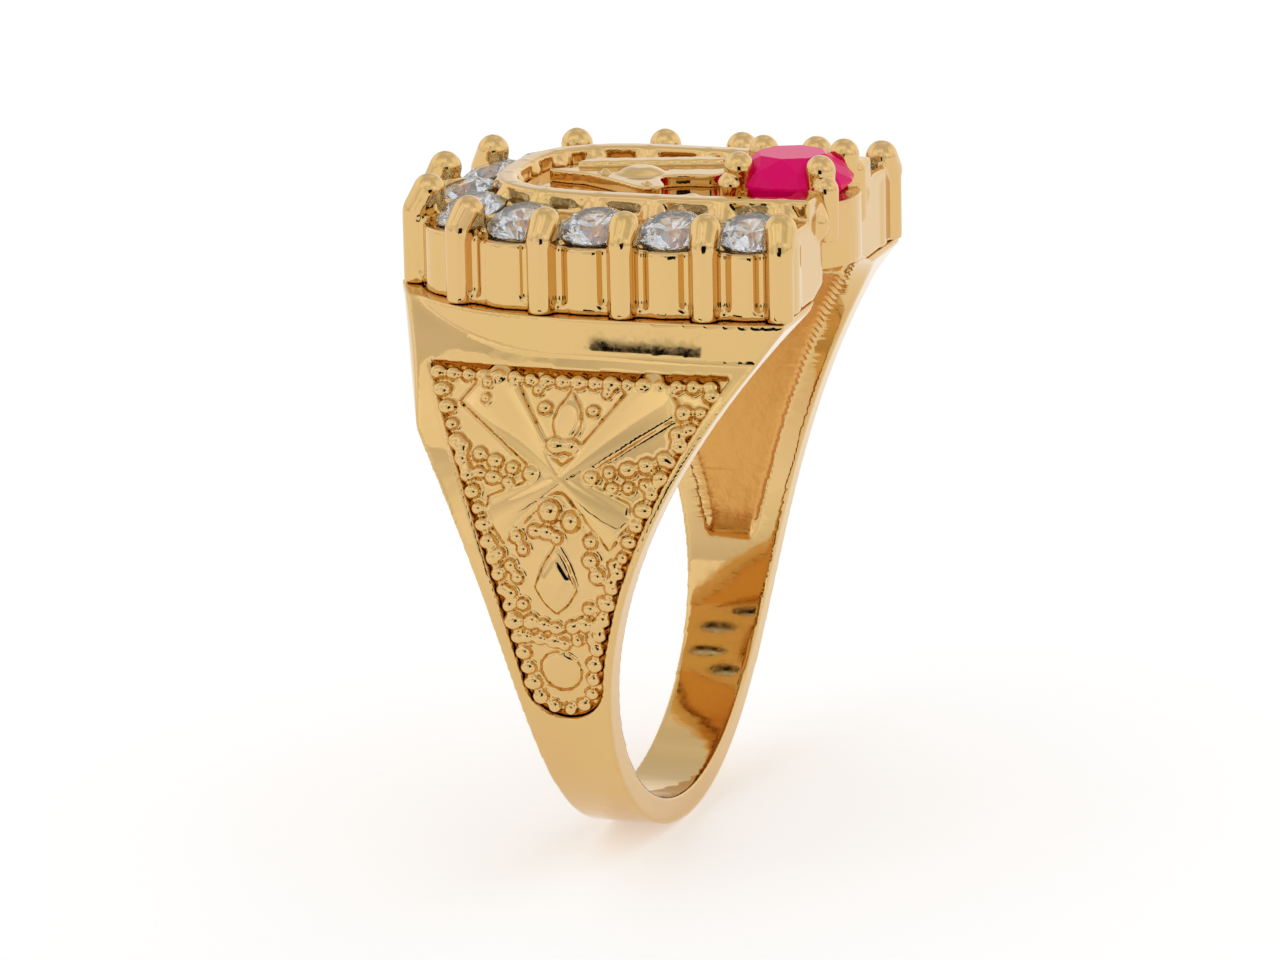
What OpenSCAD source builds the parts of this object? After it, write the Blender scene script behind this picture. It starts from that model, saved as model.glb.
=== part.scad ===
// Horseshoe finger ring, in millimetres.
// A tapered shank carries two sunk shoulder panels and a horseshoe gallery on its table.
// The gallery's claws hold a row of white stones, and a collet between the heels holds a red stone.
// X runs across the finger, Y along it with the toe of the horseshoe at +Y, and Z points up.
// The origin is the centre of the finger bore.

/* [Finger bore] */
// Inside diameter, which is the ring size
bore_d = 19.8; // [17:0.1:22]

/* [Shank] */
// Wall at the sides of the band
shank_wall = 1.2; // [1:0.05:1.6]
// How far the outside of the band is raised, which thins the wall under the finger
band_lift = 0.25; // [0:0.05:0.4]
// Width of the band under the finger
shank_w = 2.6; // [2.2:0.1:4]
// How late the band widens: a higher number keeps it narrow for longer
flare_power = 2.7; // [2:0.1:4]
// Radius of the band's crown along the finger
crown_r = 50; // [40:1:80]
// Depth of the hollow inside each shoulder
hollow_depth = 0.3; // [0.1:0.05:0.4]
// Rim left beside the hollow of each shoulder
hollow_rim = 0.9; // [0.7:0.1:1.6]
// How far the table lies below the top of the bore
table_sink = 0.6; // [0.3:0.05:0.8]
// Ledge of the table around the gallery
table_ledge = 0.05; // [0:0.05:0.3]
// Height of the upright collar below the table
collar_h = 1.6; // [1:0.1:2]

/* [Shoulder panel] */
// Depth that the panel is sunk
panel_depth = 0.45; // [0.35:0.05:0.5]
// Thickness of the panel's plate
panel_skin = 0.2; // [0.15:0.05:0.25]
// Height of the ribs above the plate
rib_h = 0.17; // [0.1:0.01:0.2]
// Width of the panel at its top edge
panel_w = 11; // [9:0.5:11.5]
// Width of the panel where its rounded end starts
panel_end_w = 2.9; // [2.4:0.1:3]
// Height of the panel's top edge above the bore's centre
panel_top = 7.55; // [7:0.05:7.6]
// Depth of the panel's rounded end below the bore's centre
panel_bottom = 4.5; // [3:0.1:5]

/* [Horseshoe] */
// Half of the horseshoe's width, to the line of the claws
shoe_half_w = 7.4; // [7.2:0.05:7.8]
// From the centre of the ring to the toe claw
shoe_toe = 8.1; // [7.6:0.05:8.3]
// Squareness of the toe's curve: 2 is an ellipse
shoe_power = 2.4; // [2.2:0.1:2.6]
// Length over which the heels would close, which sets how much they draw in
heel_reach = 14.2; // [12:0.5:18]
// Height of the gallery wall above the table
wall_h = 2.35; // [2:0.05:2.8]
// Thickness of the wall outside the stones
wall_lip = 0.3; // [0.25:0.05:0.45]
// How far each cell bulges from the wall
cell_bulge = 0.12; // [0.05:0.01:0.2]
// Width of the rim inside the stones
rim_w = 0.75; // [0.5:0.05:1]
// Height of the inner rim above the gallery wall
rim_h = 1.3; // [1:0.05:1.3]
// Thickness of the wall between the heels
heel_wall = 1; // [0.8:0.1:1.4]

/* [Claws] */
// Diameter of a claw's post
claw_d = 0.96; // [0.8:0.02:1.1]
// Diameter of a claw's rounded tip
claw_tip_d = 1.2; // [1:0.02:1.3]
// Height of a claw above the gallery wall
claw_h = 1.3; // [1.1:0.05:1.6]
// How much higher the toe claw stands than the side claws
toe_rise = 0.3; // [0:0.05:0.4]
// How far a claw's tip leans over its stones
claw_lean = 0.5; // [0.3:0.02:0.6]
// How far the posts stand out of the wall
post_out = 0.4; // [0.25:0.01:0.45]
// Radius of the flute beside each post
flute_r = 0.2; // [0.12:0.01:0.26]

/* [Stones] */
// Diameter of a white stone
white_d = 2.6; // [2.4:0.05:2.7]
// Space between two white stones
stone_space = 0.2; // [0.15:0.01:0.3]
// Further space between the two stones of the toe
toe_space = 0.5; // [0:0.1:0.8]
// How far the white stones stand above the wall
stone_lift = 0.06; // [0.05:0.01:0.2]
// Outward tilt of the white stones
stone_tilt = 17; // [10:1:22]
// Diameter of the red stone
red_d = 4.4; // [4:0.1:4.5]
// Clearance of a stone in its seat
seat_gap = 0.04; // [0.02:0.01:0.1]

/* [Collet] */
// Wall of the collet outside the red stone
collet_wall = 0.25; // [0.2:0.05:0.3]
// From the centre of the ring to the centre of the collet
collet_y = 5.4; // [5.2:0.1:5.6]
// Height of the collet above the gallery wall
collet_rise = 0.75; // [0.5:0.05:1]
// How far the red stone's girdle stands above the collet
red_lift = 0.5; // [0.3:0.05:0.6]
// Diameter of a collet claw
collet_claw_d = 0.95; // [0.8:0.05:1.05]
// Height of a collet claw above the collet
collet_claw_h = 1.65; // [1.4:0.05:1.8]

/* [Centre] */
// Thickness of the centre plate
plate_t = 0.8; // [0.5:0.1:1.2]
// How far the plate lies below the inner rim
plate_drop = 0.55; // [0.3:0.05:0.8]
// Height of the horse's head
horse_h = 6.2; // [5:0.1:6.6]
// Thickness of the horse's head
horse_t = 0.45; // [0.3:0.05:0.6]
// Clearance between soldered pieces
fit_gap = 0.05; // [0.02:0.01:0.1]

/* [Hidden] */
$fn = 72;
e = 0.01;

bore_r = bore_d / 2;
outer_r = bore_r + shank_wall;
table_z = bore_r - table_sink;
collar_z = table_z - collar_h;
wall_z = table_z + wall_h;
rim_z = wall_z + rim_h;
white_r = white_d / 2;
girdle_z = wall_z + stone_lift + white_r * sin(stone_tilt);
plate_z = rim_z - plate_drop;
collet_z = wall_z + collet_rise;
collet_d = red_d + 2 * collet_wall;
post_r = claw_d / 2;
tip_r = claw_tip_d / 2;

gold = "#E8BE6E";
white = "#E8EEF2";
red = "#C4105E";

// ---- The horseshoe's line, measured along the claws from the toe ----

// A point on one half of the line: the toe at 90 degrees, the widest place at 0, the heel below it
function shoe_at(angle) = [
    shoe_half_w * pow(abs(cos(angle)), 2 / shoe_power),
    angle >= 0 ? shoe_toe * pow(sin(angle), 2 / shoe_power)
        : -heel_reach * pow(sin(-angle), 2 / shoe_power)
];
line_steps = 150;
lowest_angle = -40;
half_line = [for (i = [0 : line_steps]) shoe_at(90 + (lowest_angle - 90) * i / line_steps)];
function lengths(path) = [for (i = 0, s = 0; i < len(path);
    s = s + (i < len(path) - 1 ? norm(path[i + 1] - path[i]) : 0), i = i + 1) s];
line_s = lengths(half_line);
line_x = [for (i = [0 : line_steps]) [line_s[i], half_line[i].x]];
line_y = [for (i = [0 : line_steps]) [line_s[i], half_line[i].y]];

// A place on the whole line, negative on the left arm and positive on the right one
function on_line(s) = [sign(s) * lookup(abs(s), line_x), lookup(abs(s), line_y)];
function along(s) = let (d = on_line(s + 0.05) - on_line(s - 0.05)) d / norm(d);
function outward(s) = let (t = along(s)) [-t.y, t.x];
function inset(s, d) = on_line(s) - d * outward(s);

// The wall's outside lies inside the line, so that the posts stand out of it
channel_out = post_r - post_out;
stone_inset = channel_out + wall_lip + white_r * cos(stone_tilt);
rim_inset = stone_inset + white_r * cos(stone_tilt) + seat_gap + 0.02;
channel_in = rim_inset + rim_w;

// The stones are spaced evenly along their own line, and a claw stands between each two of them
stone_pitch = white_d + stone_space;
stone_line = lengths([for (s = line_s) inset(s, stone_inset)]);
stone_to_claw = [for (i = [0 : line_steps]) [stone_line[i], line_s[i]]];
function claw_line(d) = sign(d) * lookup(abs(d) + toe_space / 2, stone_to_claw);
stone_s = [for (i = [0 : 11]) claw_line((i - 5.5) * stone_pitch)];
half_len = stone_s[11] + white_r - 0.15;
claw_s = [for (i = [-6 : 6]) abs(i) == 6 ? sign(i) * half_len : claw_line(i * stone_pitch)];
stone_at = [for (s = stone_s) inset(s, stone_inset)];
shoe_end = -stone_at[0].y + white_r + wall_lip;

// The line offset inwards by d, as an open list of points from one heel to the other
function offset_line(d, steps = 60) =
    [for (i = [0 : steps]) inset(-half_len + 2 * half_len * i / steps, d)];
// The same, closed straight across the heels
function closed_shoe(d, end = 0) = let (p = offset_line(d)) concat(
    [[p[0].x, -shoe_end + end]], p, [[p[60].x, -shoe_end + end]]);

// ---- Shank ----

base_half = shank_w / 2;
flare_z = table_z - 0.2;
lowest_z = band_lift - outer_r;
toe_reach = shoe_toe + post_r + table_ledge;
heel_span = shoe_end + table_ledge;
function flare(z, reach) = let (t = max(0, (z - lowest_z) / (flare_z - lowest_z)))
    base_half + (reach - base_half) * pow(min(t, 1), flare_power);

// Side view of the band's width, less a rim: narrow below and as long as the horseshoe above
module width_outline(rim = 0) {
    steps = 40;
    z_at = [for (i = [0 : steps]) lowest_z - 1 + (flare_z + 1 - lowest_z) * i / steps];
    polygon(concat(
        [for (z = z_at) [flare(z, toe_reach) - rim, z]],
        [[toe_reach - rim, table_z + 5]],
        [[-heel_span + rim, table_z + 5]],
        [for (i = [steps : -1 : 0]) [-flare(z_at[i], heel_span) + rim, z_at[i]]]
    ));
}

module across_x() {
    rotate([90, 0, 90]) linear_extrude(40, center = true) children();
}

// A crowned drum around an axis along Y
module drum(r, half_len = 12) {
    translate([0, 0, band_lift]) rotate([-90, 0, 0]) rotate_extrude($fn = 120) intersection() {
        translate([r - crown_r, 0]) circle(crown_r, $fn = 240);
        translate([0, -half_len]) square([r + 1, 2 * half_len]);
    }
}

module finger_bore(r = bore_r) {
    rotate([90, 0, 0]) cylinder(h = 40, r = r, center = true, $fn = 128);
}

module table_column(d, from, to) {
    translate([0, 0, from]) linear_extrude(to - from) polygon(closed_shoe(d, min(d + post_r, 0)));
}

// The shoulders draw in from the drum to the outline of the table
blend_z = 3.2;
module shoulder_blend() {
    hull() {
        table_column(-post_r - table_ledge - 0.02, flare_z, table_z + 1);
        translate([-outer_r - 1, -flare(blend_z, heel_span) - 0.2, blend_z])
            cube([2 * outer_r + 2, flare(blend_z, heel_span) + flare(blend_z, toe_reach) + 0.4, 0.1]);
    }
    translate([-outer_r - 1, -12, -outer_r - 2]) cube([2 * outer_r + 2, 24, outer_r + 2.05 + blend_z]);
}

// Outline of a shoulder panel, seen from the side, less a margin
module panel_outline(margin = 0) {
    steps = 14;
    side = [for (i = [0 : steps]) panel_side(i / steps, margin)];
    polygon(concat(side, [for (i = [steps : -1 : 0]) [-side[i].x, side[i].y]]));
    translate([0, panel_end_z]) circle(panel_end_w / 2 - margin);
}
// A place on the panel's side: its rounded end at 0 and its top corner at 1
panel_end_z = -panel_bottom + panel_end_w / 2;
function panel_side(t, margin = 0) = [
    panel_end_w / 2 - margin + (panel_w - panel_end_w) / 2 * (0.45 * t + 0.55 * t * t),
    panel_end_z + t * (panel_top - margin - panel_end_z)
];

// Room for a panel on one side of the ring
module panel_pocket(side, margin = 0) {
    translate([side * 10, 0, 0]) rotate([90, 0, 90]) linear_extrude(16, center = true)
        panel_outline(margin);
}

// Hollow inside both shoulders, open to the finger
hollow_tip = -2.6;
hollow_end_r = 1;
module shoulder_hollow() intersection() {
    union() {
        finger_bore(bore_r + hollow_depth);
        table_column(1.2, collar_z + 0.4, table_z + 1);
    }
    table_column(1.2, hollow_tip - 1, table_z + 1);
    across_x() intersection() {
        width_outline(hollow_rim);
        union() {
            translate([0, hollow_tip + hollow_end_r]) circle(hollow_end_r);
            translate([0, hollow_tip + hollow_end_r])
                polygon([[-hollow_end_r, 0], [hollow_end_r, 0], [9, 14], [-9, 14]]);
        }
    }
}

module shank() color(gold) difference() {
    intersection() {
        union() {
            drum(outer_r);
            table_column(-post_r - table_ledge, collar_z, table_z + 1);
        }
        across_x() width_outline();
        shoulder_blend();
    }
    translate([0, 0, table_z]) cylinder(h = 10, r = 20);
    finger_bore();
    shoulder_hollow();
    for (side = [-1, 1]) difference() {
        panel_pocket(side);
        drum(outer_r - panel_depth);
    }
}

// ---- Shoulder panels: a thin plate with raised ribs ----

cross_z = 4.15;
// An arm of the cross, widening outwards
module rib_arm(angle, length, end_w) {
    translate([0, cross_z]) rotate(angle) polygon([[-0.3, -0.32], [length, -end_w / 2],
        [length + 0.15, 0], [length, end_w / 2], [-0.3, 0.32]]);
}

module ribs() {
    for (side = [-1, 1]) {
        rib_arm(90 + side * 53, 4.1, 1.05);
        rib_arm(90 + side * 114, 2.6, 0.8);
    }
    // A drop between the upper arms
    translate([0, 5.95]) circle(0.5);
    polygon([[-0.45, 6.15], [0, 7], [0.45, 6.15]]);
    // A lozenge and an oval below the cross
    polygon([[0, 1.95], [0.42, 1.3], [0.75, 0.45], [0.42, -0.1], [0, -0.45],
        [-0.42, -0.1], [-0.75, 0.45], [-0.42, 1.3]]);
    translate([0, -2.6]) circle(0.72);
}

module shoulder_panel(side) color(gold) difference() {
    intersection() {
        panel_pocket(side, fit_gap);
        union() {
            drum(outer_r - panel_depth + panel_skin);
            intersection() {
                across_x() ribs();
                drum(outer_r - panel_depth + panel_skin + rib_h);
            }
        }
    }
    drum(outer_r - panel_depth);
}
module left_shoulder_panel() shoulder_panel(-1);
module right_shoulder_panel() shoulder_panel(1);

// ---- Horseshoe gallery: channel, seats, flutes and claws in one casting ----

// Room for the collet and its claws, seen from above
module collet_room() translate([0, -collet_y]) {
    circle(collet_d / 2 + fit_gap);
    for (a = [45 : 90 : 315]) rotate(a) translate([collet_d / 2, 0]) circle(collet_claw_d / 2 + fit_gap);
}

// The channel between two offsets of the line, closed across the heels except at the collet
module channel_outline(from, to) difference() {
    polygon(closed_shoe(from));
    polygon(closed_shoe(to, heel_wall));
    collet_room();
}

pavilion_slope = tan(41);
module seat(d) {
    r = d / 2 + seat_gap;
    hole_r = 0.52 * d / 2;
    depth = (r - hole_r) * pavilion_slope;
    translate([0, 0, -depth]) cylinder(h = depth, r1 = hole_r, r2 = r);
    translate([0, 0, -e]) cylinder(h = 5, r = r);
    translate([0, 0, -12]) cylinder(h = 12.5 - depth, r = hole_r);
}

// Room for a stone's crown, which notches the claws that lean over it
module crown_room(d, crown_share) {
    r = d / 2 + seat_gap;
    cylinder(h = 2 * seat_gap, r = r);
    translate([0, 0, seat_gap]) cylinder(h = crown_share * d, r1 = r, r2 = table_share * r);
}

// Places a stone or its seat, tilted outwards
module at_stone(i) {
    out = outward(stone_s[i]);
    translate([stone_at[i].x, stone_at[i].y, girdle_z]) rotate([0, 0, atan2(out.y, out.x)])
        rotate([0, stone_tilt, 0]) children();
}

flute_at = post_r + flute_r;
module flute(s) {
    at = inset(s, channel_out - 0.02);
    floor_z = table_z + 0.5;
    translate([at.x, at.y, floor_z]) cylinder(h = wall_h + 1, r = flute_r, $fn = 24);
    translate([at.x, at.y, floor_z]) sphere(flute_r, $fn = 32);
}

// A rod between two points
module rod(from, to, r) {
    d = to - from;
    translate(from) rotate([0, acos(d.z / norm(d)), atan2(d.y, d.x)]) cylinder(h = norm(d), r = r, $fn = 32);
}

module claw(at, tip, from_z, bend_z, top_z, r, round_r) {
    translate([at.x, at.y, from_z]) cylinder(h = bend_z - from_z, r = r, $fn = 32);
    translate([at.x, at.y, bend_z]) sphere(r, $fn = 32);
    rod([at.x, at.y, bend_z], [tip.x, tip.y, top_z - round_r], r);
    translate([tip.x, tip.y, top_z - round_r]) sphere(round_r, $fn = 32);
}

function claw_top(s) = wall_z + claw_h + toe_rise * (1 - pow(on_line(s).x / shoe_half_w, 2));
cell_r = stone_inset - channel_out + cell_bulge;
module horseshoe_gallery() color(gold) difference() {
    union() {
        difference() {
            union() {
                translate([0, 0, table_z]) linear_extrude(wall_h) channel_outline(channel_out, channel_in);
                translate([0, 0, table_z]) linear_extrude(wall_h + 0.45 * rim_h)
                    channel_outline(channel_out + 2 * wall_lip, channel_in);
                translate([0, 0, table_z]) linear_extrude(wall_h + rim_h)
                    channel_outline(rim_inset, channel_in);
                for (p = stone_at) translate([p.x, p.y, table_z]) cylinder(h = wall_h, r = cell_r);
            }
            for (i = [0 : 11]) at_stone(i) seat(white_d);
            for (i = [0 : 12], side = [-1, 1])
                if (abs(claw_s[i] + side * flute_at) < half_len) flute(claw_s[i] + side * flute_at);
        }
        for (s = claw_s)
            claw(on_line(s), inset(s, claw_lean), table_z, wall_z + 0.2, claw_top(s), post_r, tip_r);
    }
    finger_bore();
}

// ---- Centre plate and relief ----

module centre_plate() color(gold) translate([0, 0, plate_z - plate_t]) linear_extrude(plate_t) difference() {
    polygon(closed_shoe(channel_in + fit_gap, heel_wall + fit_gap));
    collet_room();
}

// A smooth closed curve through a few points
function curve_point(a, b, c, d, t) = 0.5 * (2 * b + (c - a) * t
    + (2 * a - 5 * b + 4 * c - d) * t * t + (3 * b - a - 3 * c + d) * t * t * t);
function smooth(p, steps = 4) = let (n = len(p)) [for (i = [0 : n - 1], k = [0 : steps - 1])
    curve_point(p[(i + n - 1) % n], p[i], p[(i + 1) % n], p[(i + 2) % n], k / steps)];

// The horse's head in profile, drawn 7.4 high from the base of its neck to its ear
HEAD = [[-0.1, 0], [-0.35, 1.2], [-0.75, 2.05], [-1.4, 2.1], [-2.2, 1.7], [-2.8, 1.55], [-3.1, 1.9],
    [-3.1, 2.45], [-2.75, 3.05], [-2, 4], [-1.35, 5], [-0.95, 5.7], [-0.85, 6.4], [-0.5, 7.4], [-0.05, 6.5],
    [0.6, 6.2], [1.5, 5.4], [2.15, 4.2], [2.5, 2.8], [2.65, 1.3], [2.6, 0], [1.3, -0.25]];
CHEEK = [-0.35, 3.3];
horse_scale = horse_h / 7.4;
horse_at = [0.2, -collet_y + collet_d / 2 + 0.35];

module horse_head_relief() color(gold) translate([horse_at.x, horse_at.y, plate_z]) {
    linear_extrude(horse_t) scale(horse_scale) polygon(smooth(HEAD));
    intersection() {
        translate([0, 0, horse_t / 2]) linear_extrude(horse_t) scale(horse_scale) polygon(smooth(HEAD, 2));
        scale(horse_scale) translate([CHEEK.x, CHEEK.y, -1.15]) sphere(2);
    }
    // Locks of the mane, which lie along the crest
    scale([horse_scale, horse_scale, 1]) for (k = [0 : 5])
        translate([0.75 + 0.27 * k, 5.6 - 0.88 * k, horse_t / 2]) rotate(-52 - 7 * k)
            linear_extrude(horse_t * 0.9) intersection_for (side = [-1, 1])
                translate([0, side * 0.85]) circle(1.25);
    translate([-0.85 * horse_scale, 4.75 * horse_scale, horse_t]) sphere(0.22 * horse_scale, $fn = 32);
    translate([-2.6 * horse_scale, 2.3 * horse_scale, horse_t]) sphere(0.17 * horse_scale, $fn = 32);
}

// ---- Collet of the red stone ----

collet_girdle = collet_z + red_lift;
collet_foot = bore_r + 0.15;
module ruby_collet() color(gold) translate([0, -collet_y, 0]) difference() {
    union() {
        difference() {
            translate([0, 0, collet_foot]) cylinder(h = collet_z - collet_foot, d = collet_d);
            translate([0, 0, collet_girdle]) seat(red_d);
        }
        for (a = [45 : 90 : 315]) let (way = [cos(a), sin(a)], reach = collet_d / 2)
            claw(reach * way, (reach - 0.35) * way, collet_z - 1.3, collet_z + red_lift,
                collet_z + collet_claw_h, collet_claw_d / 2, collet_claw_d / 2 + 0.07);
    }
    translate([0, 0, collet_girdle]) crown_room(red_d, red_crown);
}

// ---- Stones, cut as round brilliants ----

table_share = 0.56;
girdle_share = 0.02;
red_crown = 0.2;
// The corner between two crown mains lies on both of their planes, and so does the one below
module brilliant(d, crown_share = 0.15) {
    r = d / 2;
    table_r = table_share * r;
    half_girdle = girdle_share * r;
    crown_h = half_girdle + crown_share * d;
    pavilion_h = r * pavilion_slope;
    star_r = 0.82 * r;
    star_z = half_girdle + (r - star_r * cos(22.5)) * (crown_h - half_girdle) / (r - table_r);
    low_r = 0.28 * r;
    low_z = -half_girdle - (r - low_r * cos(22.5)) * pavilion_slope;
    function ring(n, radius, z, turn = 0) =
        [for (i = [0 : n - 1]) [radius * cos(360 * i / n + turn), radius * sin(360 * i / n + turn), z]];
    points = concat(
        ring(8, table_r, crown_h),
        ring(8, star_r, star_z, 22.5),
        ring(16, r, half_girdle),
        ring(16, r, -half_girdle),
        ring(8, low_r, low_z, 22.5),
        [[0, 0, -half_girdle - pavilion_h]]
    );
    star = 8;
    top = 16;
    under = 32;
    low = 48;
    culet = 56;
    faces = concat(
        [[7, 6, 5, 4, 3, 2, 1, 0]],
        [for (k = [0 : 7]) let (n = (k + 1) % 8) [k, n, star + k]],
        [for (k = [0 : 7]) let (b = (k + 7) % 8) [k, star + k, top + 2 * k]],
        [for (k = [0 : 7]) let (b = (k + 7) % 8) [k, top + 2 * k, star + b]],
        [for (k = [0 : 7]) [star + k, top + 2 * k + 1, top + 2 * k]],
        [for (k = [0 : 7]) [star + k, top + (2 * k + 2) % 16, top + 2 * k + 1]],
        [for (j = [0 : 15]) let (n = (j + 1) % 16) [top + j, top + n, under + n]],
        [for (j = [0 : 15]) let (n = (j + 1) % 16) [top + j, under + n, under + j]],
        [for (k = [0 : 7]) [low + k, under + 2 * k, under + 2 * k + 1]],
        [for (k = [0 : 7]) [low + k, under + 2 * k + 1, under + (2 * k + 2) % 16]],
        [for (k = [0 : 7]) let (b = (k + 7) % 8) [culet, under + 2 * k, low + k]],
        [for (k = [0 : 7]) let (b = (k + 7) % 8) [culet, low + b, under + 2 * k]]
    );
    polyhedron(points, faces, convexity = 2);
}

module red_stone() color(red) translate([0, -collet_y, collet_girdle]) brilliant(red_d, red_crown);
module white_stone(i) color(white) at_stone(i - 1) brilliant(white_d);

shank();
left_shoulder_panel();
right_shoulder_panel();
horseshoe_gallery();
centre_plate();
horse_head_relief();
ruby_collet();
red_stone();
for (i = [1 : 12]) white_stone(i);
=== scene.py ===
"""Finger ring in polished yellow gold: a horseshoe of claw-set white stones with a red stone at its heel.

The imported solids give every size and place. Each gold piece is cast again here from its solid as one
closed skin with soft edges, and the beads and reliefs are added before that skin is drawn.
"""

import math
import random

import bpy
from mathutils import Matrix, Vector


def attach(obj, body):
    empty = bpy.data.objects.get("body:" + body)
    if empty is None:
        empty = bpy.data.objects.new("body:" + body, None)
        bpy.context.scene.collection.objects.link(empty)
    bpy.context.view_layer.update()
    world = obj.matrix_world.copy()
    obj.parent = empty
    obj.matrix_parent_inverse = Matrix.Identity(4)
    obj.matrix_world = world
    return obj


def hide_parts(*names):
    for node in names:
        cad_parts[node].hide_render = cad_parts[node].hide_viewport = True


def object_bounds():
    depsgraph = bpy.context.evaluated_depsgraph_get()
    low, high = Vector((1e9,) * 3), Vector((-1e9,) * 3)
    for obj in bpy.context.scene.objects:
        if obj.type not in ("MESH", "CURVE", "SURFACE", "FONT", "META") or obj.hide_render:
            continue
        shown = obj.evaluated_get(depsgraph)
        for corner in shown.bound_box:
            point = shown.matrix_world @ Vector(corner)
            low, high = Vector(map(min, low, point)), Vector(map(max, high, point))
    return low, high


bl_info = {
    "name": "Horseshoe ring",
    "version": (1, 0, 0),
    "blender": (4, 5, 0),
    "location": "View3D > Sidebar > Ring",
    "description": "Dresses the packed solids of a gold horseshoe ring",
    "category": "Object",
}

MM = 0.001
BODY = "root"
WHITE_STONES = 12
MOST_TRIANGLES = 190000

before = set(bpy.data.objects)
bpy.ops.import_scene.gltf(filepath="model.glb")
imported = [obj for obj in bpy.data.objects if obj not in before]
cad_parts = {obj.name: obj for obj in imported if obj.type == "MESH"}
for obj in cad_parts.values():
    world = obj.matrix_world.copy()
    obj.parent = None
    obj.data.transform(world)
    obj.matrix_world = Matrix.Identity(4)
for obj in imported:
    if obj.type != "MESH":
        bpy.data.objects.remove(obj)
CAD_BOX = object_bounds()


# ---- Settings ----


class RingSettings(bpy.types.PropertyGroup):
    """Sizes and colours that can be changed."""

    cast_grain: bpy.props.FloatProperty(
        name="Cast grain",
        description="Size of the skin's squares on the gallery",
        default=0.08 * MM,
        min=0.05 * MM,
        max=0.3 * MM,
        unit="LENGTH",
        precision=6,
    )
    band_grain: bpy.props.FloatProperty(
        name="Band grain",
        description="Size of the skin's squares on the shank",
        default=0.075 * MM,
        min=0.05 * MM,
        max=0.3 * MM,
        unit="LENGTH",
        precision=6,
    )
    fine_grain: bpy.props.FloatProperty(
        name="Fine grain",
        description="Size of the skin's squares on the panels, the plate, its relief and the collet",
        default=0.06 * MM,
        min=0.04 * MM,
        max=0.2 * MM,
        unit="LENGTH",
        precision=6,
    )
    gold: bpy.props.StringProperty(
        name="Gold", description="Colour of the polished gold, as sRGB hex", default="DAB975"
    )
    warm_gold: bpy.props.StringProperty(
        name="Warm gold", description="Warmer tint of the same gold, as sRGB hex", default="DEB680"
    )
    # The gold inside the hollow shoulders: darker and more orange, as painted shade of the recess
    hollow_gold_painted_shade: bpy.props.StringProperty(
        name="Raw gold", description="Colour of the unpolished gold, as sRGB hex", default="DCA55A"
    )
    white: bpy.props.StringProperty(
        name="White stones", description="Colour of the white stones, as sRGB hex", default="EEF2F6"
    )
    red: bpy.props.StringProperty(
        name="Red stone", description="Colour of the red stone, as sRGB hex", default="E4026C"
    )


def settings():
    """The ring's settings in this scene."""
    return bpy.context.scene.ring


# ---- Small helpers ----


def colour(code):
    """Linear colour of an sRGB hex value."""
    parts = [int(code[i : i + 2], 16) / 255 for i in (0, 2, 4)]
    linear = [c / 12.92 if c <= 0.04045 else ((c + 0.055) / 1.055) ** 2.4 for c in parts]
    return (*linear, 1.0)


def soft_step(share):
    """Eases a share from 0 to 1 and holds it there beyond both ends."""
    share = min(1.0, max(0.0, share))
    return share * share * (3 - 2 * share)


def pick(piece):
    """Selects this piece alone and makes it the active one."""
    bpy.ops.object.select_all(action="DESELECT")
    piece.select_set(True)
    bpy.context.view_layer.objects.active = piece


def add_node(tree, kind, links=None, **values):
    """Adds a shader node. Values set its sockets or its own settings, and links feed its sockets."""
    node = tree.nodes.new(kind)
    for name, value in values.items():
        socket = node.inputs.get(name.replace("_", " "))
        if hasattr(node, name):
            setattr(node, name, value)
        elif socket is not None:
            socket.default_value = value
        else:
            raise RuntimeError(f"{kind} has no {name}")
    for name, source in (links or {}).items():
        tree.links.new(source, node.inputs[name])
    return node


def new_material(name):
    """A material with an empty node tree and its output."""
    material = bpy.data.materials.new(name)
    material.use_nodes = True
    material.node_tree.nodes.clear()
    output = material.node_tree.nodes.new("ShaderNodeOutputMaterial")
    return material, material.node_tree, output


def give(piece, material):
    """Makes this material the piece's only one."""
    piece.data.materials.clear()
    piece.data.materials.append(material)


def copy_of(node, name):
    """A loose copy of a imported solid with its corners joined."""
    piece = bpy.data.objects.new(name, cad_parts[node].data.copy())
    bpy.context.scene.collection.objects.link(piece)
    pick(piece)
    bpy.ops.object.mode_set(mode="EDIT")
    bpy.ops.mesh.select_all(action="SELECT")
    bpy.ops.mesh.remove_doubles(threshold=0.0005 * MM)
    bpy.ops.object.mode_set(mode="OBJECT")
    return piece


def apply_modifier(piece, kind, **values):
    """Adds one modifier with these values and applies it."""
    pick(piece)
    modifier = piece.modifiers.new(kind.title(), kind)
    for name, value in values.items():
        setattr(modifier, name, value)
    bpy.ops.object.modifier_apply(modifier=modifier.name)


def cast(piece, grain, soften, shape=None):
    """Turns a piece into one closed skin with soft edges, as casting and polishing leave it."""
    apply_modifier(piece, "REMESH", mode="VOXEL", voxel_size=grain, use_smooth_shade=True)
    apply_modifier(piece, "SMOOTH", factor=0.5, iterations=soften)
    if shape:
        shape(piece)
    triangles = 2 * len(piece.data.polygons)
    if triangles > MOST_TRIANGLES:
        apply_modifier(piece, "DECIMATE", ratio=MOST_TRIANGLES / triangles)
    pick(piece)
    bpy.ops.object.shade_smooth()


def join(piece, others):
    """Joins other pieces into this one."""
    pick(piece)
    for other in others:
        other.select_set(True)
    bpy.ops.object.join()


def finish_piece(piece, node, material):
    """Puts a finished piece on the ring's body, in the place of its solid."""
    give(piece, material)
    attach(piece, BODY)
    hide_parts(node)


# ---- Hollow shoulders ----

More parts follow.
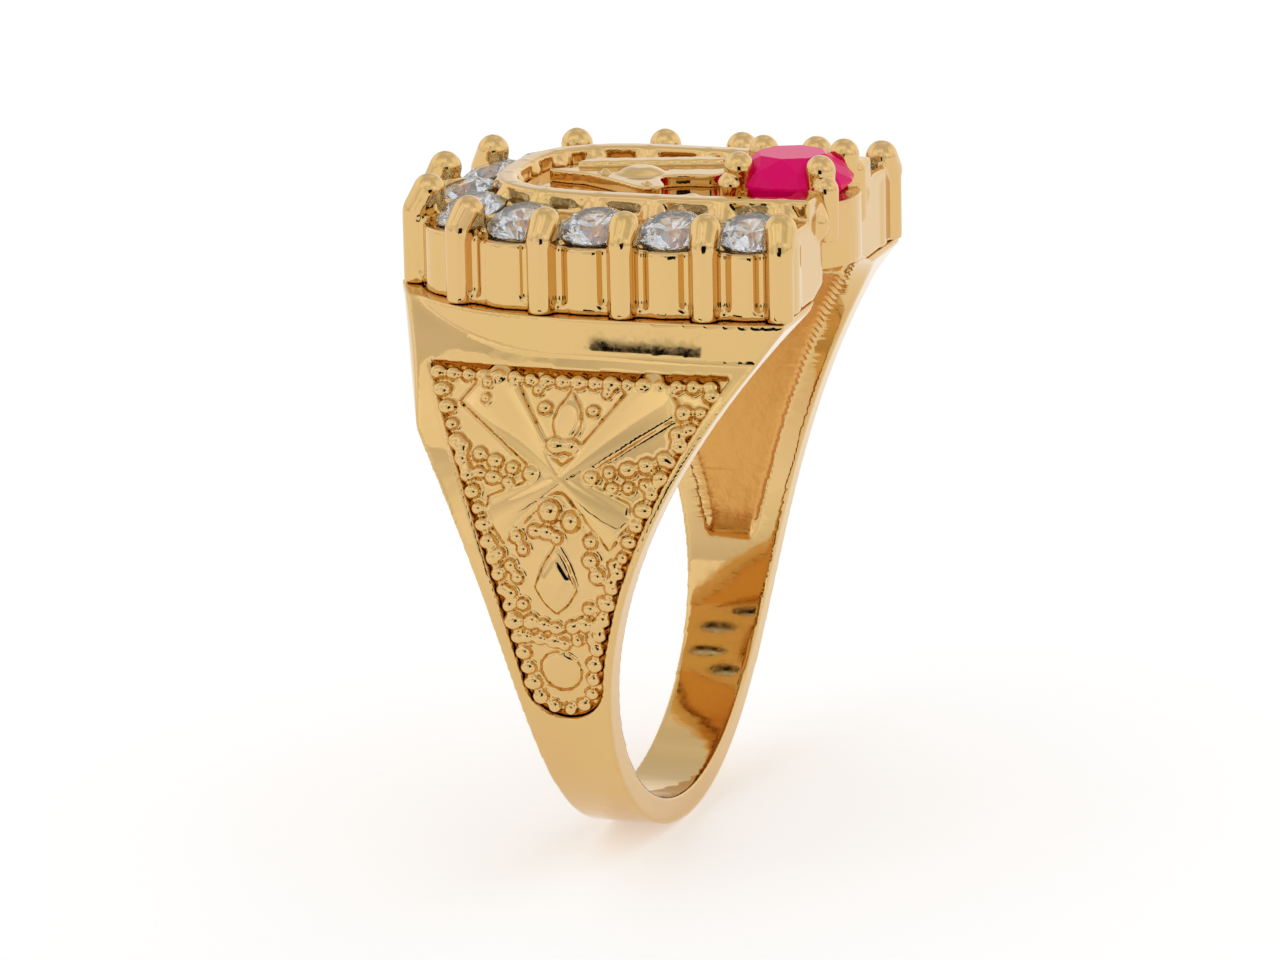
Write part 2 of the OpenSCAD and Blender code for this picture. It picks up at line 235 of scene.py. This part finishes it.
# All in mm: the depth, the plain rim on both sides, the lower tip's height, and the slopes at rim and tip
HOLLOW_DEPTH = 0.26
HOLLOW_RIM = 0.8
HOLLOW_TIP = -3.2
RIM_SLOPE = 0.35
TIP_SLOPE = 1.2
# The bore's skin lies within this distance of its centre line, in mm, and faces it at least this squarely
BORE_SKIN = 10.05
FACES_FINGER = 0.7
# The skin's edges are found level by level, each this high in mm
LEVEL_HEIGHT = 0.25


def sink_hollows(piece):
    """Sinks the skin inside both shoulders between plain rims and marks it, for a rougher unpolished skin and
    for painted shade, a darker and more orange gold.
    """
    marks = piece.data.attributes.new("hollow", "FLOAT", "POINT")
    inner = []
    edges = {}
    for vertex in piece.data.vertices:
        x, y, z = vertex.co / MM
        reach = math.hypot(x, z)
        inward = -(vertex.normal.x * x + vertex.normal.z * z) / reach
        if reach < BORE_SKIN and inward > FACES_FINGER:
            inner.append(vertex)
            level = round(z / LEVEL_HEIGHT)
            low, high = edges.get(level, (y, y))
            edges[level] = (min(low, y), max(high, y))
    for vertex in inner:
        x, y, z = vertex.co / MM
        low, high = edges[round(z / LEVEL_HEIGHT)]
        inside = min(y - low, high - y) - HOLLOW_RIM
        share = soft_step(inside / RIM_SLOPE) * soft_step((z - HOLLOW_TIP) / TIP_SLOPE)
        marks.data[vertex.index].value = share
        grow = 1 + HOLLOW_DEPTH * share / math.hypot(x, z)
        vertex.co.x *= grow
        vertex.co.z *= grow


# ---- Ornament of the shoulder panels ----

# The panel's face is a drum, lifted above the bore's centre line and crowned along the finger, in mm
BAND_LIFT = 0.25
CROWN = 50.0
PANEL_FACE = 10.86
# Skin that lies deeper than this below the face is the panel's back or side
FACE_SKIN = 0.08
# The solder line closes the panel's fitting gap at its sides
PANEL_SPREAD = 1.016

# The cross: its centre's height, its arms as angle, length and end width, and their half width at the centre
CROSS_Z = 4.15
CROSS_ARMS = ((41, 4.6, 2.3), (-36, 3.0, 1.7))
CROSS_NECK = 0.28
# How far the arms start behind the centre, how much lower their edges are, and how wide the edge's slope is
ARM_OVERLAP = 0.3
ARM_DOME = 0.4
ARM_SLOPE = 0.2
# A lozenge, an oval at the tip and an oval on top: middle's height, half width, half height, outline's power
PADS = ((0.75, 0.78, 1.25, 1.0), (-2.6, 0.78, 0.85, 2.0), (6.0, 0.55, 0.75, 2.0))
PAD_SLOPE = 0.55
PAD_RISE = 0.22

# The border's beads follow the panel's outline, which widens from a round end by straight and curved shares
BORDER_BEAD = 0.6
BORDER_INSET = 0.34
BORDER_STEPS = 12
PANEL_END_WIDTH = 2.9
STRAIGHT_SHARE = 0.45
CURVED_SHARE = 0.55

# Short rows of beads on the ground: places (along the finger, upwards) in mm, then the bead's diameter
BEAD_ROWS = (
    ([(2.2, 6.95), (1.5, 6.15), (0.75, 5.4), (0.0, 5.1), (-0.75, 5.4), (-1.5, 6.15), (-2.2, 6.95)], 0.64),
    ([(1.25, 6.9), (0.9, 6.3)], 0.48),
    ([(-1.25, 6.9), (-0.9, 6.3)], 0.48),
    ([(3.7, 4.95), (2.5, 4.6), (1.1, 4.25)], 0.62),
    ([(3.5, 4.25), (1.9, 3.95)], 0.5),
    ([(-3.7, 4.95), (-2.5, 4.6), (-1.1, 4.25)], 0.62),
    ([(-3.5, 4.25), (-1.9, 3.95)], 0.5),
    ([(0.35, 3.1)], 0.95),
    ([(-0.45, 2.75)], 0.85),
    ([(0.8, 2.45), (-0.05, 2.2)], 0.55),
    ([(2.5, 1.9), (1.9, 1.4), (1.4, 0.7)], 0.52),
    ([(1.5, 2.2), (1.15, 1.7)], 0.5),
    ([(-1.3, 2.15), (-1.9, 1.9)], 0.6),
    ([(-1.3, 1.5), (-1.45, 0.95)], 0.66),
    ([(-2.1, 1.35), (-1.95, 0.7)], 0.5),
    ([(1.7, 0.2), (1.2, -0.2), (0.9, -0.7)], 0.5),
    ([(-1.7, 0.1), (-1.2, -0.2), (-0.9, -0.7)], 0.5),
    ([(1.5, -0.75), (0.5, -0.95), (-0.5, -0.95), (-1.5, -0.75)], 0.55),
    ([(1.2, -1.4), (0.0, -1.55), (-1.2, -1.4)], 0.48),
)
# Two short rows stand on the cross's upper arms
ARM_BEAD_ROWS = (([(3.1, 7.1), (3.1, 6.6)], 0.46), ([(-4.1, 6.35), (-4.0, 5.75)], 0.66))
# Beads stand this far above their seats, a little closer than touching, and no two are alike
BEAD_LIFT = 0.07
BEAD_PITCH = 0.98
BEAD_SEED = 5
BEAD_SHAKE = 0.06
BEAD_WIDTHS = (0.85, 1.12)
BEAD_LENGTHS = (0.9, 1.2)
# A bead of the ground is left out where a smooth shape rises by more than this share
GROUND_LIMIT = 0.4


def pad_share(y, z):
    """How far a place on the panel is raised: 1 on the smooth shapes and 0 on the ground between."""
    share = 0.0
    for degrees, length, end_width in CROSS_ARMS:
        turn = math.radians(degrees)
        out = abs(y) * math.cos(turn) + (z - CROSS_Z) * math.sin(turn)
        aside = abs((z - CROSS_Z) * math.cos(turn) - abs(y) * math.sin(turn))
        half = CROSS_NECK + (end_width / 2 - CROSS_NECK) * max(0.0, out) / length
        room = min(half - aside, length - out, out + ARM_OVERLAP)
        dome = 1 - ARM_DOME * min(1.0, aside / half) ** 2
        share = max(share, soft_step(room / ARM_SLOPE) * dome)
    for middle, half_wide, half_high, power in PADS:
        off = (abs(y) / half_wide) ** power + (abs(z - middle) / half_high) ** power
        share = max(share, soft_step((1 - off) / PAD_SLOPE))
    return share


def raise_pads(piece):
    """Lifts the outer face of a panel's skin where the smooth shapes stand, and closes its edge's gap."""
    for vertex in piece.data.vertices:
        vertex.co.y *= PANEL_SPREAD
        x, y, z = vertex.co / MM
        reach = math.hypot(x, z - BAND_LIFT)
        crown_drop = CROWN - math.sqrt(CROWN**2 - y**2)
        if reach + crown_drop < PANEL_FACE - FACE_SKIN:
            continue
        target = PANEL_FACE + PAD_RISE * pad_share(y, z) - crown_drop
        if target > reach:
            grow = target / reach
            vertex.co.x = x * grow * MM
            vertex.co.z = (BAND_LIFT + (z - BAND_LIFT) * grow) * MM


def even_places(line, pitch, closed):
    """Places at one pitch along a line of corners. A line of one corner is one place."""
    corners = [Vector((*corner, 0)) for corner in line]
    if closed:
        corners.append(corners[0])
    spans = [(a, b, (b - a).length) for a, b in zip(corners, corners[1:])]
    whole = sum(length for _, _, length in spans)
    steps = max(1, round(whole / pitch))
    count = steps if closed or not spans else steps + 1
    places = []
    for i in range(count):
        left = whole * i / steps
        for a, b, length in spans:
            if left <= length:
                places.append(a.lerp(b, left / length))
                break
            left -= length
        else:
            places.append(corners[-1])
    return [(place.x, place.y) for place in places]


def border_line(node):
    """The line of the border's beads on one panel, in mm."""
    corners = [vertex.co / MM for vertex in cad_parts[node].data.vertices]
    end_z = min(corner.z for corner in corners) + PANEL_END_WIDTH / 2
    top_z = max(corner.z for corner in corners) - BORDER_INSET
    half_top = max(corner.y for corner in corners) - BORDER_INSET
    half_end = PANEL_END_WIDTH / 2 - BORDER_INSET
    side = []
    for i in range(BORDER_STEPS + 1):
        t = i / BORDER_STEPS
        widening = STRAIGHT_SHARE * t + CURVED_SHARE * t * t
        side.append((half_end + (half_top - half_end) * widening, end_z + t * (top_z - end_z)))
    turns = [math.pi * i / BORDER_STEPS for i in range(1, BORDER_STEPS)]
    arc = [(half_end * math.cos(turn), end_z - half_end * math.sin(turn)) for turn in turns]
    return side[::-1] + arc + [(-y, z) for y, z in side]


def panel_beads(node, side):
    """Beads on one panel, seated in its face."""
    rows = [(border_line(node), BORDER_BEAD, "border")]
    rows += [(line, size, "ground") for line, size in BEAD_ROWS]
    rows += [(line, size, "arm") for line, size in ARM_BEAD_ROWS]
    bpy.ops.object.select_all(action="DESELECT")
    bpy.ops.mesh.primitive_ico_sphere_add(subdivisions=2, radius=0.5 * MM)
    first = bpy.context.object
    shake = random.Random(BEAD_SEED)
    beads = []
    for line, size, kind in rows:
        for y, z in even_places(line, size * BEAD_PITCH, closed=kind == "border"):
            if kind == "ground" and pad_share(y, z) > GROUND_LIMIT:
                continue
            if kind != "border":
                y += shake.uniform(-BEAD_SHAKE, BEAD_SHAKE)
                z += shake.uniform(-BEAD_SHAKE, BEAD_SHAKE)
            bead = first.copy()
            bead.data = first.data.copy()
            bpy.context.scene.collection.objects.link(bead)
            wide = size * shake.uniform(*BEAD_WIDTHS)
            rise = BEAD_LIFT
            if kind == "arm":
                rise += PAD_RISE * pad_share(y, z)
            reach = PANEL_FACE + rise - CROWN + math.sqrt(CROWN**2 - y**2)
            x = math.sqrt(reach**2 - (z - BAND_LIFT) ** 2)
            bead.location = (side * x * MM, y * MM, z * MM)
            bead.scale = (wide, wide * shake.uniform(*BEAD_LENGTHS), wide)
            beads.append(bead)
    bpy.data.objects.remove(first)
    return beads


# ---- Claws ----

# Claws of one casting stand further apart than this
CLAW_SPACE = 1.4 * MM
# The horseshoe's outline is a superellipse with a longer half towards the heel
SHOE_HALF_WIDTH = 7.4 * MM
SHOE_TOE = 8.1 * MM
SHOE_HEEL = 14.2 * MM
SHOE_POWER = 2.4
# Above this height over the stones the gallery has only its claws
ABOVE_STONES = 0.12 * MM
# The gallery's claws: where they bend, how far they lean, and their widths at head and foot
CLAW_BEND_Z = 11.85 * MM
CLAW_LEAN = 0.44 * MM
CLAW_WIDTHS = (1.2 * MM, 1.08 * MM)
# The collet's claws: their free tips, their length, and their widths at head and foot
COLLET_TIP = 0.5 * MM
COLLET_CLAW_LENGTH = 1.5 * MM
COLLET_CLAW_WIDTHS = (1.1 * MM, 1.0 * MM)
# Each thumb is a chain of pads, each a little taller than wide
THUMB_STEPS = 4
PAD_TALLER = 1.05


def claw_tops(piece, above):
    """The middle and the top of each claw that stands above a height, found on a piece's own mesh."""
    groups = []
    for vertex in piece.data.vertices:
        if vertex.co.z < above:
            continue
        for group in groups:
            if (group[0] - vertex.co).to_2d().length < CLAW_SPACE:
                group.append(vertex.co.copy())
                break
        else:
            groups.append([vertex.co.copy()])
    tops = []
    for group in groups:
        middle = [(min(c[k] for c in group) + max(c[k] for c in group)) / 2 for k in (0, 1)]
        tops.append(Vector((*middle, max(c.z for c in group))))
    return tops


def outward(place):
    """The direction square to the horseshoe's outline at a place."""
    half_length = SHOE_TOE if place.y > 0 else SHOE_HEEL
    x = place.x / SHOE_HALF_WIDTH
    y = place.y / half_length
    across = math.copysign(abs(x) ** (SHOE_POWER - 1), x) / SHOE_HALF_WIDTH
    along = math.copysign(abs(y) ** (SHOE_POWER - 1), y) / half_length
    return Vector((across, along, 0)).normalized()


def pad(place, size):
    """One egg-shaped pad of this width, depth and height."""
    bpy.ops.object.select_all(action="DESELECT")
    bpy.ops.mesh.primitive_uv_sphere_add(segments=24, ring_count=14, radius=0.5, location=place)
    bpy.context.object.scale = size
    return bpy.context.object


def thumbs(piece, above, bend, lean, widths):
    """Pads that make each claw's head, neck and shoulder one thumb shape, leaning in by lean."""
    head, foot = widths
    pads = []
    for top in claw_tops(piece, above):
        head_middle = top - Vector((0, 0, head / 2))
        shoulder = head_middle + outward(top) * lean
        shoulder.z = bend
        for step in range(THUMB_STEPS + 1):
            share = step / THUMB_STEPS
            wide = head + (foot - head) * share
            pads.append(pad(head_middle.lerp(shoulder, share), (wide, wide, head * PAD_TALLER)))
    return pads


# ---- Materials ----


def polished_gold():
    """Cast 14 carat yellow gold, tumble polished: a clear mirror with slow waves and a few soft spots."""
    if "Polished cast gold" in bpy.data.materials:
        return bpy.data.materials["Polished cast gold"]
    material, tree, output = new_material("Polished cast gold")
    place = add_node(tree, "ShaderNodeTexCoord")
    at = {"Vector": place.outputs["Object"]}
    # The hollow shoulders keep a rough, grainy unpolished skin, and their darker, more orange colour is
    # painted shade of the recess
    hollow = add_node(tree, "ShaderNodeAttribute", attribute_name="hollow").outputs["Fac"]

    # Slow waves about 1.6 mm long, left by the wax and the polishing wheel
    waves = add_node(tree, "ShaderNodeTexNoise", at, Scale=620.0, Detail=2.0, Roughness=0.45)
    # Grains of the mould about 0.5 mm across
    grain = add_node(tree, "ShaderNodeTexNoise", at, Scale=1900.0, Detail=2.0, Roughness=0.6)
    height = add_node(
        tree, "ShaderNodeMix", {0: hollow, 2: waves.outputs["Fac"], 3: grain.outputs["Fac"]}
    )
    strength = add_node(tree, "ShaderNodeMapRange", {"Value": hollow}, To_Min=0.16, To_Max=1.0)
    bump = add_node(
        tree,
        "ShaderNodeBump",
        {"Height": height.outputs[0], "Strength": strength.outputs[0]},
        Distance=0.03 * MM,
    )

    # Fine haze about 0.25 mm across
    haze = add_node(tree, "ShaderNodeTexNoise", at, Scale=4000.0, Detail=3.0, Roughness=0.6)
    haze_range = add_node(
        tree,
        "ShaderNodeMapRange",
        {"Value": haze.outputs["Fac"]},
        From_Min=0.35,
        From_Max=0.7,
        To_Min=0.03,
        To_Max=0.1,
    )
    dullness = add_node(tree, "ShaderNodeMix", {0: hollow, 2: haze_range.outputs["Result"]})
    dullness.inputs[3].default_value = 0.36

    # Patches of a warmer tint about 3 mm across
    patches = add_node(tree, "ShaderNodeTexNoise", at, Scale=330.0, Detail=2.0)
    tint = add_node(tree, "ShaderNodeMix", {0: patches.outputs["Fac"]}, data_type="RGBA")
    tint.inputs[6].default_value = colour(settings().gold)
    tint.inputs[7].default_value = colour(settings().warm_gold)
    # Painted shade: the hollows take the darker, more orange gold
    skin = add_node(tree, "ShaderNodeMix", {0: hollow, 6: tint.outputs[2]}, data_type="RGBA")
    skin.inputs[7].default_value = colour(settings().hollow_gold_painted_shade)

    gold = add_node(
        tree,
        "ShaderNodeBsdfPrincipled",
        {
            "Base Color": skin.outputs[2],
            "Roughness": dullness.outputs[0],
            "Normal": bump.outputs["Normal"],
        },
        Metallic=1.0,
    )
    tree.links.new(gold.outputs["BSDF"], output.inputs["Surface"])
    return material


def cut_stone(name, code, ior, clearness, gloss, glow=0.0):
    """A faceted gemstone with polished flat facets. The rest of its light comes back from within it, and a
    glow, where given, is painted light: the stone shines in its own colour as if it were a lamp.
    """
    material, tree, output = new_material(name)
    gem = add_node(
        tree,
        "ShaderNodeBsdfPrincipled",
        Base_Color=colour(code),
        Roughness=0.0,
        IOR=ior,
        Transmission_Weight=clearness,
        Specular_IOR_Level=gloss,
        # Painted glow: the stone gives off light in its own colour, though it is no lamp
        Emission_Color=colour(code),
        Emission_Strength=glow,
    )
    tree.links.new(gem.outputs["BSDF"], output.inputs["Surface"])
    return material


# ---- Pieces ----


class RING_OT_shank(bpy.types.Operator):
    """Casts the shank with its hollow shoulders and its table."""

    bl_idname = "ring.shank"
    bl_label = "Shank"

    def execute(self, context):
        piece = copy_of("shank", "cast_shank")
        cast(piece, settings().band_grain, soften=6, shape=sink_hollows)
        finish_piece(piece, "shank", polished_gold())
        return {"FINISHED"}


class RING_OT_panels(bpy.types.Operator):
    """Casts the two ornamented shoulder panels."""

    bl_idname = "ring.panels"
    bl_label = "Shoulder panels"

    def execute(self, context):
        for node, side in (("left_shoulder_panel", -1), ("right_shoulder_panel", 1)):
            piece = copy_of(node, f"cast_{node}")
            cast(piece, settings().fine_grain, soften=1)
            raise_pads(piece)
            join(piece, panel_beads(node, side))
            cast(piece, settings().fine_grain, soften=2)
            finish_piece(piece, node, polished_gold())
        return {"FINISHED"}


class RING_OT_gallery(bpy.types.Operator):
    """Casts the horseshoe gallery with its claws."""

    bl_idname = "ring.gallery"
    bl_label = "Horseshoe gallery"

    def execute(self, context):
        piece = copy_of("horseshoe_gallery", "cast_horseshoe_gallery")
        stone_top = max(vertex.co.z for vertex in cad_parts["white_stone_1"].data.vertices)
        above = stone_top + ABOVE_STONES
        join(piece, thumbs(piece, above, CLAW_BEND_Z, CLAW_LEAN, CLAW_WIDTHS))
        cast(piece, settings().cast_grain, soften=6)
        finish_piece(piece, "horseshoe_gallery", polished_gold())
        return {"FINISHED"}


class RING_OT_centre(bpy.types.Operator):
    """Casts the centre plate and the horse's head on it."""

    bl_idname = "ring.centre"
    bl_label = "Centre plate and relief"

    def execute(self, context):
        plate = copy_of("centre_plate", "cast_centre_plate")
        cast(plate, settings().fine_grain, soften=2)
        finish_piece(plate, "centre_plate", polished_gold())
        head = copy_of("horse_head_relief", "cast_horse_head")
        cast(head, settings().fine_grain, soften=4)
        finish_piece(head, "horse_head_relief", polished_gold())
        return {"FINISHED"}


class RING_OT_collet(bpy.types.Operator):
    """Casts the red stone's collet and its four claws."""

    bl_idname = "ring.collet"
    bl_label = "Collet"

    def execute(self, context):
        piece = copy_of("ruby_collet", "cast_collet")
        top = max(vertex.co.z for vertex in piece.data.vertices)
        above = top - COLLET_TIP
        join(piece, thumbs(piece, above, top - COLLET_CLAW_LENGTH, 0.0, COLLET_CLAW_WIDTHS))
        cast(piece, settings().fine_grain, soften=3)
        finish_piece(piece, "ruby_collet", polished_gold())
        return {"FINISHED"}


class RING_OT_stones(bpy.types.Operator):
    """Gives the cut stones their clear materials."""

    bl_idname = "ring.stones"
    bl_label = "Stones"

    def execute(self, context):
        clear = cut_stone(
            "Cubic zirconia, brilliant cut", settings().white, ior=2.16, clearness=0.88, gloss=0.5
        )
        # The index stays below a real ruby's, as white mirrors would wash its colour out,
        # and the glow is painted light: an emission in the stone's colour that stands in for the light its
        # pavilion sends back
        red = cut_stone(
            "Ruby, brilliant cut", settings().red, ior=1.45, clearness=0.15, gloss=0.05, glow=0.15
        )
        for i in range(1, WHITE_STONES + 1):
            give(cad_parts[f"white_stone_{i}"], clear)
        give(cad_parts["red_stone"], red)
        return {"FINISHED"}


# ---- Stage ----

# The camera's direction in degrees, and its distance, sensor and lens in mm
AZIMUTH = -71.63
ELEVATION = 14.7
ROLL = -1.2
DISTANCE = 235.85
SENSOR_WIDTH = 36
LENS = 184.021875
LENS_SHIFT = 0.00625
# How far the camera stands aside and up from the line through the bore's centre, in mm
CAMERA_OFFSET = (-0.78, 1.475)
NEAR_AND_FAR = (0.01, 10)

FLOOR_SIZE = 4.0
FLOOR_GLOW = 0.35
# Brightness of the tent as matt surfaces see it, and of its folds as mirrors see them
TENT_ON_MATT = 0.7
FOLDS = (0.72, 1.12)


def camera_axes():
    """The camera's right, up and back directions."""
    azimuth, elevation, roll = (math.radians(turn) for turn in (AZIMUTH, ELEVATION, ROLL))
    back = Vector(
        (
            math.sin(azimuth) * math.cos(elevation),
            -math.cos(azimuth) * math.cos(elevation),
            math.sin(elevation),
        )
    )
    right = (-back).cross(Vector((0, 0, 1))).normalized()
    up = right.cross(-back)
    return (
        right * math.cos(roll) + up * math.sin(roll),
        up * math.cos(roll) - right * math.sin(roll),
        back,
    )


def add_floor():
    """A white paper floor that glows a little and keeps the ring's shadow."""
    low, _ = CAD_BOX
    bpy.ops.mesh.primitive_plane_add(size=FLOOR_SIZE, location=(0, 0, low[2]))
    floor = bpy.context.object
    floor.name = "floor"
    material, tree, output = new_material("White paper floor")
    paper = add_node(tree, "ShaderNodeBsdfDiffuse", Color=colour("FAFAFA"))
    glow = add_node(tree, "ShaderNodeEmission", Color=(1, 1, 1, 1), Strength=FLOOR_GLOW)
    both = add_node(tree, "ShaderNodeAddShader", {0: paper.outputs[0], 1: glow.outputs[0]})
    tree.links.new(both.outputs[0], output.inputs["Surface"])
    give(floor, material)


def add_tent(scene):
    """A white tent around the ring, a little darker for matt surfaces and with folds for mirrors."""
    world = bpy.data.worlds.new("White tent")
    scene.world = world
    world.use_nodes = True
    tree = world.node_tree
    tree.nodes.clear()
    rays = add_node(tree, "ShaderNodeLightPath").outputs
    seen = rays["Is Camera Ray"]
    for kind in ("Is Glossy Ray", "Is Transmission Ray"):
        brighter = add_node(tree, "ShaderNodeMath", {0: seen, 1: rays[kind]}, operation="MAXIMUM")
        seen = brighter.outputs[0]
    strength = add_node(tree, "ShaderNodeMapRange", {"Value": seen}, To_Min=TENT_ON_MATT, To_Max=1.0)
    # The folds are some 40 degrees across
    way = add_node(tree, "ShaderNodeTexCoord")
    cloth = add_node(
        tree, "ShaderNodeTexNoise", {"Vector": way.outputs["Generated"]}, Scale=1.6, Detail=1.0
    )
    folds = add_node(
        tree,
        "ShaderNodeMapRange",
        {"Value": cloth.outputs["Fac"]},
        From_Min=0.35,
        From_Max=0.65,
        To_Min=FOLDS[0],
        To_Max=FOLDS[1],
    )
    mirrored = add_node(
        tree, "ShaderNodeMix", {0: rays["Is Glossy Ray"], 2: strength.outputs[0], 3: folds.outputs[0]}
    )
    sky = add_node(tree, "ShaderNodeBackground", {"Strength": mirrored.outputs[0]}, Color=(1, 1, 1, 1))
    end = tree.nodes.new("ShaderNodeOutputWorld")
    tree.links.new(sky.outputs[0], end.inputs["Surface"])


def softbox(name, direction, distance, size, power):
    """An area lamp that looks at the ring."""
    toward = Vector(direction).normalized()
    bpy.ops.object.light_add(type="AREA", location=toward * distance)
    lamp = bpy.context.object
    lamp.name = name
    lamp.rotation_euler = toward.to_track_quat("Z", "Y").to_euler()
    lamp.data.shape = "RECTANGLE"
    lamp.data.size, lamp.data.size_y = size
    lamp.data.energy = power


def black_card(name, place, size, face):
    """A black card, placed and sized in mm, that the gold mirrors. The camera doesn't see it."""
    bpy.ops.mesh.primitive_plane_add(size=1, location=Vector(place) * MM)
    card = bpy.context.object
    card.name = name
    card.scale = (size[0] * MM, size[1] * MM, 1)
    card.rotation_euler = Vector(face).to_track_quat("Z", "Y").to_euler()
    card.visible_camera = False
    card.visible_shadow = False
    material, tree, output = new_material("Black card")
    paper = add_node(tree, "ShaderNodeBsdfDiffuse", Color=colour("101010"))
    tree.links.new(paper.outputs[0], output.inputs["Surface"])
    give(card, material)


def add_camera(scene, right, up, back):
    """The camera, which looks at the ring's left side from a little above."""
    place = (back * DISTANCE + right * CAMERA_OFFSET[0] + up * CAMERA_OFFSET[1]) * MM
    bpy.ops.object.camera_add(location=place)
    camera = bpy.context.object
    camera.rotation_euler = Matrix((right, up, back)).transposed().to_euler()
    camera.data.sensor_width = SENSOR_WIDTH
    camera.data.lens = LENS
    camera.data.shift_x = LENS_SHIFT
    camera.data.clip_start, camera.data.clip_end = NEAR_AND_FAR
    scene.camera = camera


class RING_OT_stage(bpy.types.Operator):
    """Adds the white floor, the soft lights, the black cards and the camera."""

    bl_idname = "ring.stage"
    bl_label = "Stage"

    def execute(self, context):
        add_floor()
        add_tent(context.scene)
        softbox("key_softbox", direction=(-0.7, 0.5, 0.9), distance=0.35, size=(0.2, 0.2), power=0.04)
        softbox("fill_softbox", direction=(-0.3, -1.0, 0.4), distance=0.4, size=(0.25, 0.15), power=0.03)
        right, up, back = camera_axes()
        # The collar mirrors this one as a streak, and the panels see it almost edge on
        black_card("collar_card", place=(-20.8, 0.7, 4.6), size=(7, 3.2), face=(0.25, 0, 0.97))
        # Beads and claws mirror this one as dark dots, as they would a lens
        black_card("lens_card", place=back * 60, size=(26, 26), face=back)
        add_camera(context.scene, right, up, back)
        context.scene.view_settings.view_transform = "Standard"
        return {"FINISHED"}


OPERATORS = (
    RING_OT_shank,
    RING_OT_panels,
    RING_OT_gallery,
    RING_OT_centre,
    RING_OT_collet,
    RING_OT_stones,
    RING_OT_stage,
)


class RING_PT_panel(bpy.types.Panel):
    """Lists the ring's settings and the steps that build it."""

    bl_idname = "RING_PT_panel"
    bl_label = "Horseshoe ring"
    bl_space_type = "VIEW_3D"
    bl_region_type = "UI"
    bl_category = "Ring"

    def draw(self, context):
        for name in RingSettings.__annotations__:
            self.layout.prop(context.scene.ring, name)
        for operator in OPERATORS:
            self.layout.operator(operator.bl_idname)


def register():
    for kind in (RingSettings, *OPERATORS, RING_PT_panel):
        bpy.utils.register_class(kind)
    bpy.types.Scene.ring = bpy.props.PointerProperty(type=RingSettings)


def unregister():
    del bpy.types.Scene.ring
    for kind in reversed((RingSettings, *OPERATORS, RING_PT_panel)):
        bpy.utils.unregister_class(kind)


def main():
    register()
    for operator in OPERATORS:
        group, name = operator.bl_idname.split(".")
        getattr(getattr(bpy.ops, group), name)()


if __name__ == "__main__":
    main()
